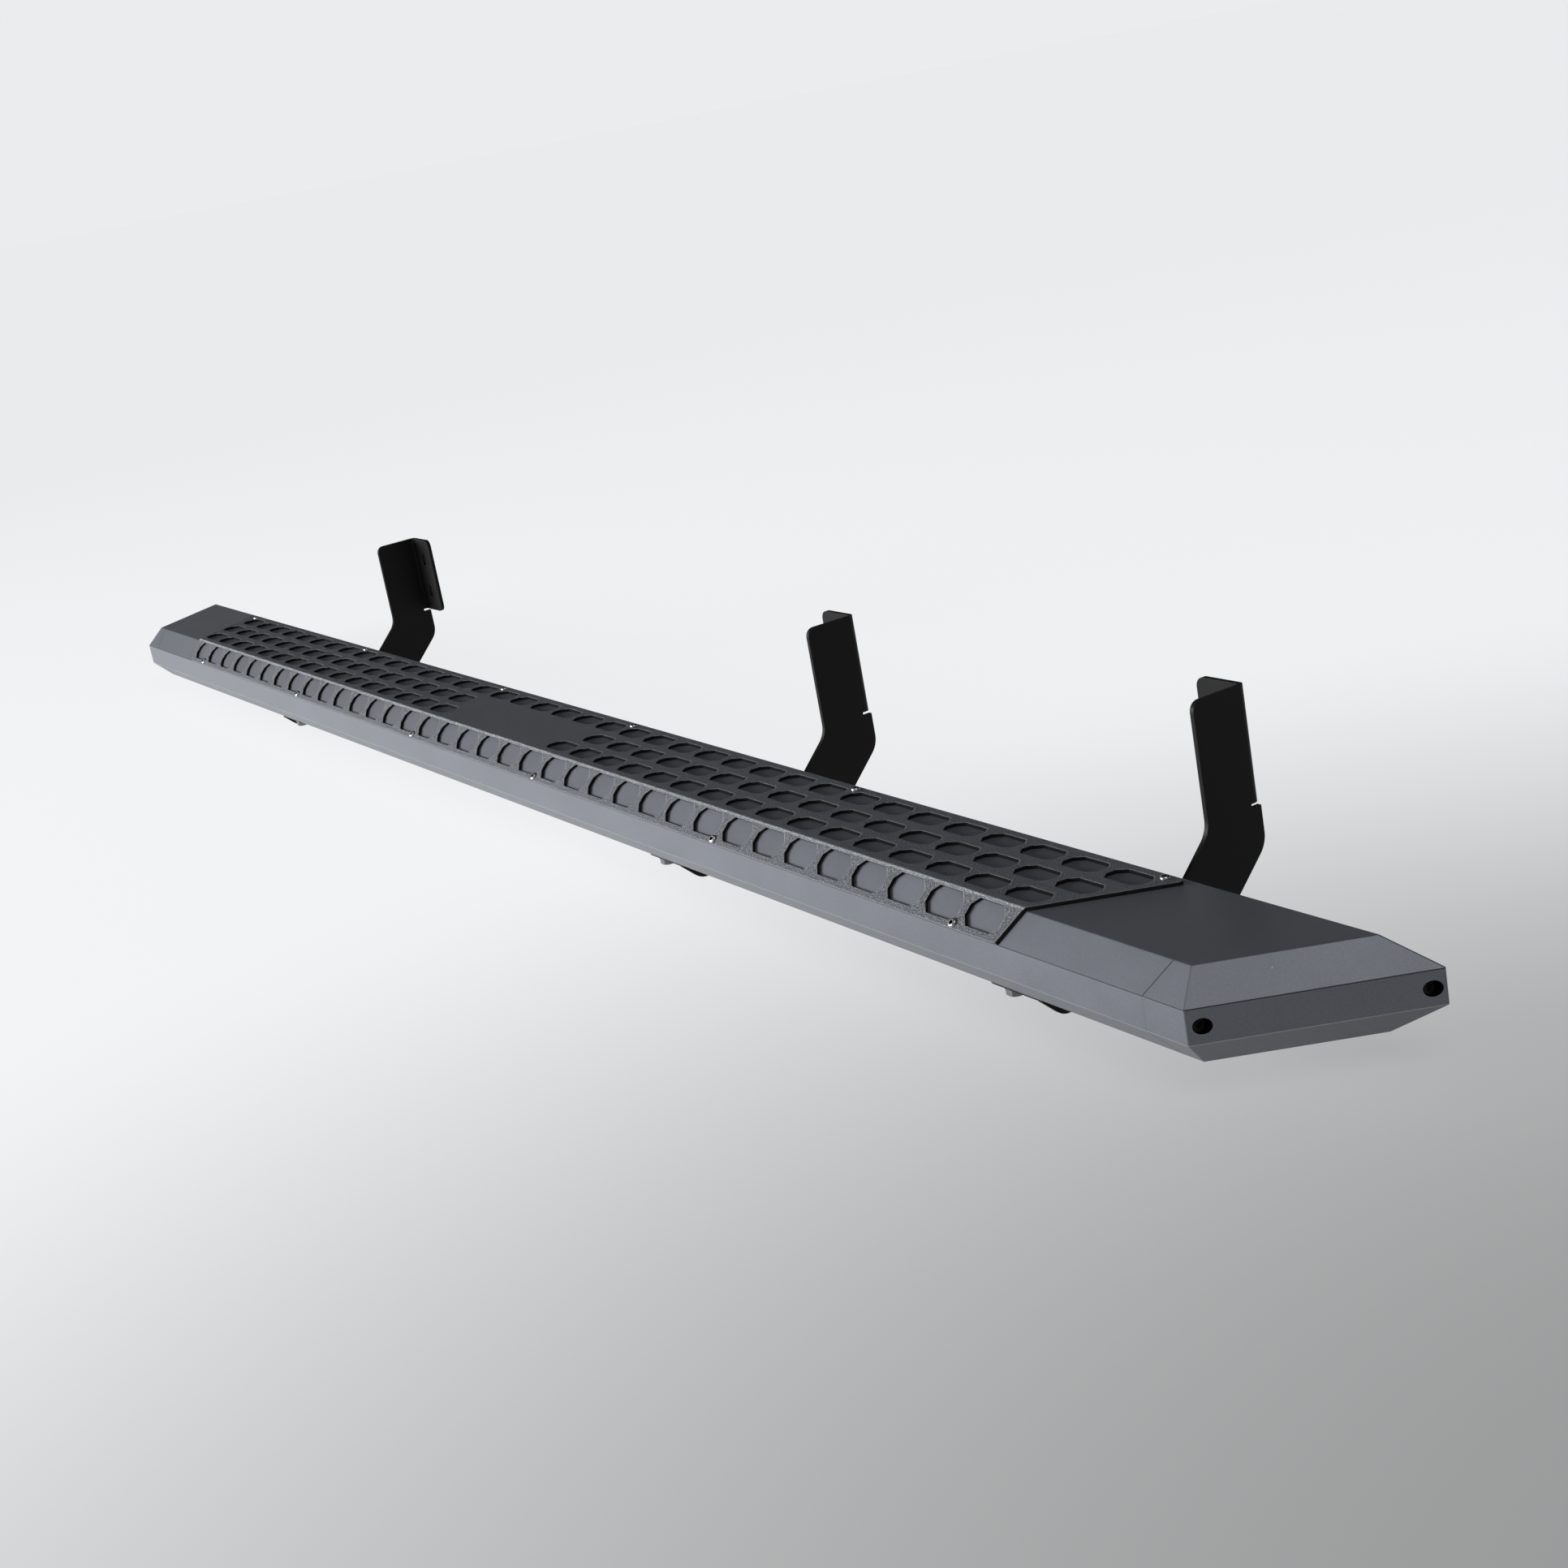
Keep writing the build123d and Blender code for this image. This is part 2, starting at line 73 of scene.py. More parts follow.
print("frame size in mm:", in_mm(high - low for low, high in zip(*size_before)))

# %% [markdown]
# The camera comes next, since how fine a texture has to be depends on how near the camera is.
# It stands outboard of the bar's front end and a little above it, so the bar runs away to the
# left and its near end cap is large. A heading, a pitch and a roll are easier to read and to
# change than a matrix, and the roll is what makes the bar fall to the right in the picture.

# %% Camera
camera_place = Vector((2.16496, -0.93069, 0.57612))
heading, pitch, roll = radians(150.9), radians(-16.5), radians(-10.54)
direction = Vector((cos(heading) * cos(pitch), sin(heading) * cos(pitch), sin(pitch)))

scene = bpy.context.scene
camera_data = bpy.data.cameras.new("camera")
camera_data.sensor_width = 36.0
camera_data.lens = 55.0
camera = bpy.data.objects.new("camera", camera_data)
camera.location = camera_place
camera.rotation_mode = "QUATERNION"
camera.rotation_quaternion = direction.to_track_quat("-Z", "Y") @ Quaternion((0, 0, 1), roll)
scene.collection.objects.link(camera)
scene.camera = camera

# %% [markdown]
# Nearly every surface here is powder coat, which is dry paint melted onto the metal. It is never
# mirror smooth: it has grains under a millimetre across, and it runs thin over sharp edges, which
# are painted lighter, partly as thin paint and partly as a painted highlight. Each of those effects
# is used by several materials, so each is a node group, built once. The helpers below only save
# typing: they place a node, join its sockets and open a new group.

# %% Helpers for node trees
def wire(tree, node, inputs):
    for socket, value in inputs.items():
        if isinstance(value, bpy.types.NodeSocket):
            tree.links.new(value, node.inputs[socket])
        else:
            node.inputs[socket].default_value = value
    return node


def add_node(tree, kind, inputs=None, **settings):
    node = tree.nodes.new(kind)
    for name, value in settings.items():
        setattr(node, name, value)
    return wire(tree, node, inputs or {})


def new_group(name, inputs, outputs):
    tree = bpy.data.node_groups.new(name, "ShaderNodeTree")
    for socket, kind, value in inputs:
        made = tree.interface.new_socket(socket, in_out="INPUT", socket_type=kind)
        if value is not None:
            made.default_value = value
    for socket, kind in outputs:
        tree.interface.new_socket(socket, in_out="OUTPUT", socket_type=kind)
    return tree, tree.nodes.new("NodeGroupInput").outputs, tree.nodes.new("NodeGroupOutput")


# %% [markdown]
# Most nodes in a material only work with numbers. These helpers place the ones that come back all
# the time, and each returns the output that the next node needs. A Mix node calls its inputs alike
# for every kind of data, so they go by number: 2 and 3 are plain values, and 6 and 7 are colours.
# A noise seldom leaves the range that is named here, so a mask is stretched from that range.

# %% Helpers for values
NOISE_RANGE = (0.3, 0.7)


def math_node(tree, operation, first, second=0.0):
    return add_node(tree, "ShaderNodeMath", {0: first, 1: second}, operation=operation).outputs[0]


def vector_value(tree, operation, first, second):
    both = {0: first, 1: second}
    return add_node(tree, "ShaderNodeVectorMath", both, operation=operation).outputs["Value"]


def remap(tree, value, low, high, to_low=0.0, to_high=1.0, shape="LINEAR"):
    limits = {"Value": value, "From Min": low, "From Max": high, "To Min": to_low, "To Max": to_high}
    return add_node(tree, "ShaderNodeMapRange", limits, interpolation_type=shape).outputs["Result"]


def mix_value(tree, factor, first, second):
    values = {"Factor": factor, 2: first, 3: second}
    return add_node(tree, "ShaderNodeMix", values, data_type="FLOAT").outputs[0]


def mix_colour(tree, factor, first, second):
    colours = {"Factor": factor, 6: first, 7: second}
    return add_node(tree, "ShaderNodeMix", colours, data_type="RGBA").outputs[2]


def noise(tree, place, scale, detail=2.0, roughness=0.5):
    inputs = {"Vector": place, "Scale": scale, "Detail": detail, "Roughness": roughness}
    return add_node(tree, "ShaderNodeTexNoise", inputs).outputs["Fac"]


# %% [markdown]
# The grain is a noise that is measured in grains per metre, so it has the same real size on every
# piece. Two outputs are enough: the height of the grain for the bump, and the flecks, which are
# the tops of a second, finer noise that stand out of the film and catch the light. That noise
# keeps some detail, so the flecks lie in small clumps, as grit does. Share says how much of the
# surface they cover, by moving the level above which the noise counts as a fleck.

# %% Node group: powder grain
FINER = 1.2
LEVEL_OF_NONE, LEVEL_OF_ALL = 0.72, 0.3
FLECK_SOFTNESS = 0.15


def powder_grain_group():
    tree, given, result = new_group(
        "powder_grain",
        [
            ("Place", "NodeSocketVector", None),
            ("Grains", "NodeSocketFloat", 900.0),
            ("Share", "NodeSocketFloat", 0.1),
        ],
        [("Height", "NodeSocketFloat"), ("Flecks", "NodeSocketFloat")],
    )
    height = noise(tree, given["Place"], given["Grains"], detail=3.0, roughness=0.6)
    finer = math_node(tree, "MULTIPLY", given["Grains"], FINER)
    tops = noise(tree, given["Place"], finer, detail=2.0, roughness=0.6)
    start = remap(tree, given["Share"], 0.0, 1.0, LEVEL_OF_NONE, LEVEL_OF_ALL)
    end = math_node(tree, "ADD", start, FLECK_SOFTNESS)
    flecks = remap(tree, tops, start, end)
    wire(tree, result, {"Height": height, "Flecks": flecks})
    return tree


powder_grain = powder_grain_group()
print(powder_grain.name, "has", len(powder_grain.nodes), "nodes")

# %% [markdown]
# Folded, sawn and cast edges are all slightly round under their paint. Modelling every one of them
# would cost a great many faces, so the Bevel node rounds them in the shading only. Where its
# normal leaves the flat one, there is an edge, and that difference makes a mask for the edges'
# lighter colour, which is partly thin paint and partly a painted highlight. The dot product of the
# two normals is 1 on a flat side and falls as they part.

# %% Node group: soft edges
STILL_FLAT, FULLY_EDGE = 0.99, 0.86


def soft_edge_group():
    tree, given, result = new_group(
        "soft_edge",
        [("Radius", "NodeSocketFloat", 0.6 * MM)],
        [("Normal", "NodeSocketVector"), ("Edge", "NodeSocketFloat")],
    )
    rounded = add_node(tree, "ShaderNodeBevel", {"Radius": given["Radius"]}, samples=8)
    rounded = rounded.outputs["Normal"]
    plain = add_node(tree, "ShaderNodeNewGeometry").outputs["Normal"]
    agreement = vector_value(tree, "DOT_PRODUCT", rounded, plain)
    edge = remap(tree, agreement, STILL_FLAT, FULLY_EDGE)
    wire(tree, result, {"Normal": rounded, "Edge": edge})
    return tree


soft_edge = soft_edge_group()
print(soft_edge.name, "has", len(soft_edge.nodes), "nodes")

# %% [markdown]
# A spray booth leaves broad, faint patches in the gloss, and use adds a speck of dust here and
# there. Both are large or sparse, so they share a group: slow noise for the patches, and rare
# cells, with a dot in the middle of each, for the dust.

# %% Node group: patches and dust
PATCHES_PER_METRE = 14.0
CELLS_PER_METRE = 160.0
SPECK_FULL, SPECK_NONE = 0.05, 0.1


def patches_group():
    tree, given, result = new_group(
        "patches_and_dust",
        [("Place", "NodeSocketVector", None), ("Share", "NodeSocketFloat", 0.02)],
        [("Patches", "NodeSocketFloat"), ("Dust", "NodeSocketFloat")],
    )
    slow = noise(tree, given["Place"], PATCHES_PER_METRE, detail=3.0, roughness=0.55)
    patches = remap(tree, slow, *NOISE_RANGE)
    cell_inputs = {"Vector": given["Place"], "Scale": CELLS_PER_METRE}
    cells = add_node(tree, "ShaderNodeTexVoronoi", cell_inputs)
    random = add_node(tree, "ShaderNodeSeparateColor", {"Color": cells.outputs["Color"]})
    chosen = math_node(tree, "LESS_THAN", random.outputs["Green"], given["Share"])
    speck = remap(tree, cells.outputs["Distance"], SPECK_FULL, SPECK_NONE, 1.0, 0.0)
    dust = math_node(tree, "MULTIPLY", chosen, speck)
    wire(tree, result, {"Patches": patches, "Dust": dust})
    return tree


patches_and_dust = patches_group()
print(patches_and_dust.name, "has", len(patches_and_dust.nodes), "nodes")

# %% [markdown]
# Every material starts the same way: a shader, and Object coordinates, which are metres from the
# part's own origin. With those, a place on the bar can be named by its real size. The last helper
# turns such a place into a mask: it is full near a given level and fades out on both sides of it,
# and band holds the two distances at which it stops being full and at which it is gone.

# %% Helpers for materials
def grey(value, blue=0.0):
    return (value * (1 - blue), value, value * (1 + blue), 1.0)


def new_material(name, **plain_values):
    material = bpy.data.materials.new(name)
    material.use_nodes = True
    tree = material.node_tree
    shader = tree.nodes["Principled BSDF"]
    wire(tree, shader, plain_values)
    place = add_node(tree, "ShaderNodeTexCoord").outputs["Object"]
    return material, tree, shader, place


def place_group(tree, group, inputs):
    return wire(tree, add_node(tree, "ShaderNodeGroup", node_tree=group), inputs).outputs


def axes_of(tree, vector):
    return add_node(tree, "ShaderNodeSeparateXYZ", {"Vector": vector}).outputs


def close_to(tree, value, level, band, strength=1.0):
    distance = math_node(tree, "ABSOLUTE", math_node(tree, "SUBTRACT", value, level))
    return remap(tree, distance, *band, strength, 0.0, shape="SMOOTHSTEP")


print("a grey of 0.5 with a little blue:", [round(channel, 3) for channel in grey(0.5, 0.06)])

# %% [markdown]
# A real bar isn't one even tone. A hairline gap, drawn as a dark line, shows where each cap meets
# the bar. It is painted full on the slanted sides and weaker on the top and the face, and that
# difference is painted shade, set by how the light falls on each side. That joint leans across the
# bar, so it lies where the distance along the bar, less its share of the distance across, has one
# fixed value. A mark gives back a mask, the paint that the mask lets in, and whether it lies in
# shade, where nothing shines.

# %% Mark: the joints of the caps
LEAN = tan(radians(32.2))
bar_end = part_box("bar_extrusion")[1]
JOINT = bar_end.x - LEAN * bar_end.y
GAP_LINE = (0.2 * MM, 0.5 * MM)
GAP_BLACK = grey(0.01)

# how far the normal of a slanted side points up or down, and the share of the gap's painted shade
# elsewhere
SLANTED_SIDE = 0.7
SLANTED_BAND = (0.1, 0.2)
SHARE_ELSEWHERE = 0.25


def joint_mark(tree, spot):
    axes = axes_of(tree, spot["place"])
    leaning = math_node(tree, "MULTIPLY", axes["Y"], LEAN)
    from_middle = math_node(tree, "SUBTRACT", math_node(tree, "ABSOLUTE", axes["X"]), leaning)
    line = close_to(tree, from_middle, JOINT, GAP_LINE)
    plain = add_node(tree, "ShaderNodeNewGeometry").outputs["Normal"]
    steepness = math_node(tree, "ABSOLUTE", axes_of(tree, plain)["Z"])
    slanted = close_to(tree, steepness, SLANTED_SIDE, SLANTED_BAND)
    share = math_node(tree, "MAXIMUM", slanted, SHARE_ELSEWHERE)
    return math_node(tree, "MULTIPLY", line, share), GAP_BLACK, True


print("the caps meet the bar", round(JOINT / MM, 1), "mm from the middle, on the bar's centre line")

# %% [markdown]
# The counterbores in the caps are painted black inside, which is painted shade in the holes. They
# run along the bar, so their mask is a circle across it. The corner under the slope has a thin line
# of painted shade, and the lower corner has a thin painted highlight, a little lighter than the
# sides that meet there. A corner lies at one height all along the bar, so the height alone is
# enough to find it.

# %% Marks: painted shade in the counterbores and corners, and a painted highlight
CAP_SCREW_Y, CAP_SCREW_Z = 61 * MM, -36.45 * MM
BORE_RIM = (5.4 * MM, 5.6 * MM)
# painted shade inside the counterbores
BORE_SHADE = grey(0.004)
CORNER_Z, LOW_CORNER_Z = -24.2 * MM, -48.7 * MM
CORNER_LINE = (0.2 * MM, 0.55 * MM)
CORNER_STRENGTH = 0.8
# painted shade along the corner under the slope, and a painted highlight along the lower corner
CORNER_SHADE, CORNER_HIGHLIGHT = grey(0.025), grey(0.3, 0.05)


def bore_shade_mark(tree, spot):
    axes = axes_of(tree, spot["place"])
    side = math_node(tree, "SUBTRACT", math_node(tree, "ABSOLUTE", axes["Y"]), CAP_SCREW_Y)
    up = math_node(tree, "SUBTRACT", axes["Z"], CAP_SCREW_Z)
    across = add_node(tree, "ShaderNodeCombineXYZ", {"Y": side, "Z": up}).outputs[0]
    radius = vector_value(tree, "DISTANCE", across, (0, 0, 0))
    return remap(tree, radius, *BORE_RIM, 1.0, 0.0), BORE_SHADE, True


def corner_shade_mark(tree, spot):
    height = axes_of(tree, spot["place"])["Z"]
    return close_to(tree, height, CORNER_Z, CORNER_LINE, CORNER_STRENGTH), CORNER_SHADE, True


def low_corner_highlight_mark(tree, spot):
    height = axes_of(tree, spot["place"])["Z"]
    return close_to(tree, height, LOW_CORNER_Z, CORNER_LINE, CORNER_STRENGTH), CORNER_HIGHLIGHT, False


print("counterbores", in_mm((CAP_SCREW_Y, CAP_SCREW_Z)), "corners", in_mm((CORNER_Z, LOW_CORNER_Z)))

# %% [markdown]
# The tread cover is a folded plate with a coarse grip coat. Its grains are painted light along the
# fold, and only there, which is a painted highlight where the rounded fold catches the light. The
# band lies along the fold, and the flecks of the grain carry it, so that the painted highlight looks
# grainy and not like a smooth stripe.

# %% Mark: painted highlight on the fold
FOLD_Y = -51.5 * MM
FOLD_BAND = (0.2 * MM, 1.7 * MM)
# the painted highlight along the fold, weaker between the grains
HIGHLIGHT_BETWEEN_GRAINS = 0.25
FOLD_HIGHLIGHT_GRIT = grey(0.5, 0.06)


def fold_highlight_mark(tree, spot):
    band = close_to(tree, axes_of(tree, spot["place"])["Y"], FOLD_Y, FOLD_BAND)
    grains = remap(tree, spot["flecks"], 0.0, 1.0, HIGHLIGHT_BETWEEN_GRAINS, 1.0)
    return math_node(tree, "MULTIPLY", band, grains), FOLD_HIGHLIGHT_GRIT, False


print("the cover folds", round(-FOLD_Y / MM, 1), "mm outboard of the centre line")

# %% [markdown]
# The walls of the cutouts stand in their own shade and look black. The plate faces two ways, up
# and down the slope, so this mask first asks on which side of the fold it is, and then how far the
# face leans away from that side. The wall along the plate's lower edge is left out, because the
# floor lights it. A dot product with a direction tells how far a place or a normal lies along it.

# %% Mark: walls of the cutouts
SLOPE_AXIS = (0, -0.7334, 0.6798)
SLOPE_WAY = (0, -0.6798, -0.7334)
LOWER_EDGE = 59.4 * MM
FULLY_WALL, NO_WALL = 0.4, 0.7
FACES_DOWN = 0.5
WALL_DARK = grey(0.025)


def wall_mark(tree, spot):
    on_slope = math_node(tree, "LESS_THAN", axes_of(tree, spot["place"])["Y"], FOLD_Y)
    out_of_flat = axes_of(tree, spot["facing"])["Z"]
    out_of_slope = vector_value(tree, "DOT_PRODUCT", spot["facing"], SLOPE_AXIS)
    outward = mix_value(tree, on_slope, out_of_flat, out_of_slope)
    wall = remap(tree, outward, FULLY_WALL, NO_WALL, 1.0, 0.0)

    down_slope = vector_value(tree, "DOT_PRODUCT", spot["facing"], SLOPE_WAY)
    faces_down = math_node(tree, "GREATER_THAN", down_slope, FACES_DOWN)
    down_to = vector_value(tree, "DOT_PRODUCT", spot["place"], SLOPE_WAY)
    at_edge = math_node(tree, "GREATER_THAN", down_to, LOWER_EDGE)
    lower_edge = math_node(tree, "MULTIPLY", faces_down, at_edge)
    wall = math_node(tree, "MAXIMUM", math_node(tree, "SUBTRACT", wall, lower_edge), 0.0)
    return wall, WALL_DARK, True


print("the slope's lower edge is", round(LOWER_EDGE / MM, 1), "mm down its own direction")

# %% [markdown]
# One function makes every coated finish from the groups. It takes the colours of the coat, of the
# flecks in it and of its edges, which stand for thin paint and a painted highlight at once, how
# coarse and how deep the grain is, how rough the film is, and the marks to lay over it, among them
# painted shade and painted highlights. The shader stays out here, and only values and normals come
# from the groups. A mark in full shade also turns the film rough and metallic, because a dark
# metal has no white gloss of its own.

# %% One function for the coats
PATCH_TONE = 0.92
PATCH_ROUGHNESS = 0.03
DUST_SHARE = 0.003
DUST_GREY = grey(0.3)


def coated(name, coat, fleck, edge_and_highlight_colour, grains, share, depth, rough,
           radius=0.4, metallic=0.0, marks=(), **plain_values):
    material, tree, shader, place = new_material(name, **plain_values)
    grain = place_group(tree, powder_grain, {"Place": place, "Grains": grains, "Share": share})
    edge = place_group(tree, soft_edge, {"Radius": radius * MM})
    broad = place_group(tree, patches_and_dust, {"Place": place, "Share": DUST_SHARE})

    deeper = tuple(PATCH_TONE * channel for channel in coat[:3]) + (1.0,)
    colour = mix_colour(tree, broad["Patches"], deeper, coat)
    colour = mix_colour(tree, grain["Flecks"], colour, fleck)
    # edges get a lighter colour: partly thin paint, partly a painted highlight
    colour = mix_colour(tree, edge["Edge"], colour, edge_and_highlight_colour)
    colour = mix_colour(tree, broad["Dust"], colour, DUST_GREY)
    smoother, rougher = rough - PATCH_ROUGHNESS, rough + PATCH_ROUGHNESS
    roughness = remap(tree, broad["Patches"], 0.0, 1.0, smoother, rougher)

    spot = {"place": place, "flecks": grain["Flecks"], "facing": edge["Normal"]}
    for mark in marks:
        mask, paint, in_shade = mark(tree, spot)
        colour = mix_colour(tree, mask, colour, paint)
        if in_shade:
            roughness = math_node(tree, "MAXIMUM", roughness, mask)
            metallic = math_node(tree, "MAXIMUM", metallic, mask)

    bump = {"Height": grain["Height"], "Normal": edge["Normal"], "Distance": depth * MM}
    normal = add_node(tree, "ShaderNodeBump", bump).outputs["Normal"]
    surface = {"Base Color": colour, "Roughness": roughness, "Metallic": metallic, "Normal": normal}
    wire(tree, shader, surface)
    return material


print("a coat is made of", powder_grain.name, "/", soft_edge.name, "/", patches_and_dust.name)

# %% [markdown]
# Three coats cover nearly everything. The bar's graphite coat is fine and partly metallic, since
# its flakes give each side of the bar its own tone. The cover's grit coat is nearly black between
# coarse light grains. The brackets' satin black is plain, and its low specular level keeps it as
# dark as it is on the real thing.

# %% The three coats
graphite_coat = coated(
    "graphite powder coat",
    coat=(0.106, 0.114, 0.133, 1),
    fleck=(0.148, 0.158, 0.18, 1),
    edge_and_highlight_colour=(0.17, 0.18, 0.2, 1),
    grains=1900.0, share=0.5, depth=0.08, rough=0.4, radius=0.3, metallic=0.45,
    marks=(joint_mark, bore_shade_mark, corner_shade_mark, low_corner_highlight_mark),
)
grit_coat = coated(
    "black grit coat",
    coat=(0.009, 0.011, 0.014, 1),
    fleck=(0.158, 0.176, 0.204, 1),
    edge_and_highlight_colour=grey(0.2, 0.06),
    grains=1000.0, share=0.58, depth=0.6, rough=0.6, radius=1.2,
    marks=(fold_highlight_mark, wall_mark),
)
satin_black = coated(
    "satin black coat",
    coat=grey(0.004),
    fleck=grey(0.008),
    edge_and_highlight_colour=grey(0.012),
    grains=1400.0, share=0.3, depth=0.03, rough=0.5,
    **{"Specular IOR Level": 0.12},
)
print("coats:", graphite_coat.name, "/", grit_coat.name, "/", satin_black.name)

# %% [markdown]
# The fasteners are bare or plated metal. One function covers them, with the cloudiness from the
# same slow noise and a faint grain in the gloss. The inside of a socket is painted dark on all of
# them, as painted shade in the recess. It can't be named by its place, because a screw sits
# anywhere, so the mesh will carry an attribute that marks this painted shade, and the material
# reads that.

# %% One function for the metals
METAL_GRAINS = 1500.0
METAL_GRAIN_DEPTH = 0.02 * MM
SMOOTHER_BY, ROUGHER_BY = 0.06, 0.08
# painted shade inside the sockets
SOCKET_SHADE_COLOUR = grey(0.012)


def metal(name, dull, bright, rough, metallic=1.0, radius=0.2, **plain_values):
    material, tree, shader, place = new_material(name, Metallic=metallic, **plain_values)
    broad = place_group(tree, patches_and_dust, {"Place": place, "Share": 0.0})
    edge = place_group(tree, soft_edge, {"Radius": radius * MM})
    grain = place_group(tree, powder_grain, {"Place": place, "Grains": METAL_GRAINS, "Share": 0.0})

    colour = mix_colour(tree, broad["Patches"], dull, bright)
    colour = mix_colour(tree, edge["Edge"], colour, bright)
    # the socket's inside is painted dark, as painted shade
    socket_shade = add_node(tree, "ShaderNodeAttribute", attribute_name="socket_shade").outputs["Fac"]
    colour = mix_colour(tree, socket_shade, colour, SOCKET_SHADE_COLOUR)
    smoother, rougher = rough - SMOOTHER_BY, rough + ROUGHER_BY
    roughness = remap(tree, grain["Height"], *NOISE_RANGE, smoother, rougher)

    bump = {"Height": grain["Height"], "Normal": edge["Normal"], "Distance": METAL_GRAIN_DEPTH}
    normal = add_node(tree, "ShaderNodeBump", bump).outputs["Normal"]
    wire(tree, shader, {"Base Color": colour, "Roughness": roughness, "Normal": normal})
    return material


print("a metal's grain has", METAL_GRAINS, "grains per metre")

# %% [markdown]
# Stainless is bright and slightly dulled by the tumbling that it gets, and zinc plate is duller
# and cloudy. Black oxide is a dark film with hardly any shine of its own, so it isn't metallic
# here, and its specular level is low.

# %% The three metals
stainless = metal("stainless steel", grey(0.32), grey(0.45), rough=0.28)
zinc_plate = metal("zinc plate", grey(0.12, 0.02), grey(0.18, 0.02), rough=0.42)
black_oxide = metal(
    "black oxide", grey(0.003), grey(0.006), rough=0.6, metallic=0.0, **{"Specular IOR Level": 0.1},
)
print("metals:", stainless.name, "/", zinc_plate.name, "/", black_oxide.name)

# %% [markdown]
# The frame's own nodes take their finish through their material slots, and their meshes are left
# alone. The bar and its caps share one coat, the cover has the coarse grip coat, and the brackets
# are plain satin black, as on the real thing. Whatever isn't listed is plated.

# %% Finishes on the frame
finish_of = {
    "bar_extrusion": graphite_coat,
    "front_end_cap": graphite_coat,
    "rear_end_cap": graphite_coat,
    "tread_cover": grit_coat,
    "bracket_front": satin_black,
    "bracket_middle": satin_black,
    "bracket_rear": satin_black,
    "front_cap_screws": black_oxide,
    "rear_cap_screws": black_oxide,
    "cover_screws_outboard": stainless,
    "cover_screws_inboard": stainless,
}
for name, node in cad.items():
    node.data.materials.clear()
    node.data.materials.append(finish_of.get(name, zinc_plate))
print(len(cad), "nodes have a finish")

# %% [markdown]
# The places of the fasteners are read from the frame, so that the detailed ones always sit where
# the plain ones do. A node holds several fasteners, which are told apart by the gaps between them
# along X, Y or Z, which are numbered 0, 1 and 2. Each has an axis. Its middle is halfway between
# its extremes across that axis, its head is at the far end along it, and the distance between its
# two ends is its length.

# %% Find where the fasteners sit
ALONG_X, ALONG_Y = 0, 1
GAP_BETWEEN = 5 * MM


def fastener_points(node, spread):
    points = sorted((v.co.copy() for v in cad[node].data.vertices), key=lambda point: point[spread])
    groups = [[points[0]]]
    for before, point in zip(points, points[1:]):
        if point[spread] - before[spread] > GAP_BETWEEN:
            groups.append([])
        groups[-1].append(point)
    return groups


def seats(node, axis, spread):
    turn = Vector(axis).to_track_quat("Z", "Y").to_matrix()
    found = []
    for group in fastener_points(node, spread):
        local = [turn.transposed() @ point for point in group]
        low = [min(point[i] for point in local) for i in range(3)]
        high = [max(point[i] for point in local) for i in range(3)]
        centre = turn @ Vector(((low[0] + high[0]) / 2, (low[1] + high[1]) / 2, high[2]))
        place = Matrix.Translation(centre) @ turn.to_4x4()
        found.append((place, high[2] - low[2]))
    return found


def print_seats(node, found):
    for place, length in found:
        print(node, "at", in_mm(place.translation), "and", round(length / MM, 1), "mm long")


outboard_seats = seats("cover_screws_outboard", SLOPE_AXIS, ALONG_X)
inboard_seats = seats("cover_screws_inboard", (0, 0, 1), ALONG_X)
print_seats("outboard cover screw", outboard_seats)
print_seats("inboard cover screw", inboard_seats)

# %% [markdown]
# A turned fastener is a profile spun about its axis. The profile is a handful of points, each a
# radius and a height in millimetres, with zero at the top of the head. Spin joins its last
# section to its first when it is asked to merge. The points on the axis are then still doubled, so
# they are merged too, before the normals are recalculated to face outwards. A disc is turned as a
# test: its volume comes out positive only when its faces point outwards.

# %% Turning a profile
SEGMENTS = 48
SAME_POINT = 0.001 * MM


def turned(profile):
    shape = bmesh.new()
    points = [shape.verts.new((radius * MM, 0, height * MM)) for radius, height in profile]
    edges = [shape.edges.new(pair) for pair in zip(points, points[1:])]
    bmesh.ops.spin(
        shape, geom=points + edges, cent=(0, 0, 0), axis=(0, 0, 1), angle=2 * pi,
        steps=SEGMENTS, use_merge=True, use_duplicate=False,
    )
    bmesh.ops.remove_doubles(shape, verts=shape.verts[:], dist=SAME_POINT)
    bmesh.ops.recalc_face_normals(shape, faces=shape.faces[:])
    return shape


disc = turned([(0.0, 0.0), (4.0, 0.0), (4.0, -2.0), (0.0, -2.0)])
print("a disc 8 mm across and 2 mm thick holds", round(disc.calc_volume() / MM ** 3, 1), "mm3")
disc.free()

# %% [markdown]
# A socket or a hexagon isn't round, but it can be made from a round one: its rings are pulled in
# and out by a factor that changes with the angle. The same search, by radius and height, finds the
# points inside a socket and sets the attribute that marks their painted shade, which the metals
# read. The number of sections is a multiple of six, so that every lobe and every side is the same.

# %% Sockets from round holes
ON_THE_AXIS = 1e-6


def around(vertex):
    across = Vector(vertex.co[:2])
    return across.length, Vector((1, 0)).angle_signed(across, 0.0)


def reshape_ring(shape, low, high, inside, factor):
    for vertex in shape.verts:
        radius, angle = around(vertex)
        if low * MM <= vertex.co.z <= high * MM and ON_THE_AXIS < radius < inside * MM:
            scale = factor(angle)
            vertex.co.x *= scale
            vertex.co.y *= scale


def mark_socket_shade(shape, inside, top, bottom):
    socket_shade = shape.verts.layers.float.new("socket_shade")
    for vertex in shape.verts:
        radius = around(vertex)[0]
        if radius < inside * MM and bottom * MM < vertex.co.z < top * MM:
            vertex[socket_shade] = 1.0


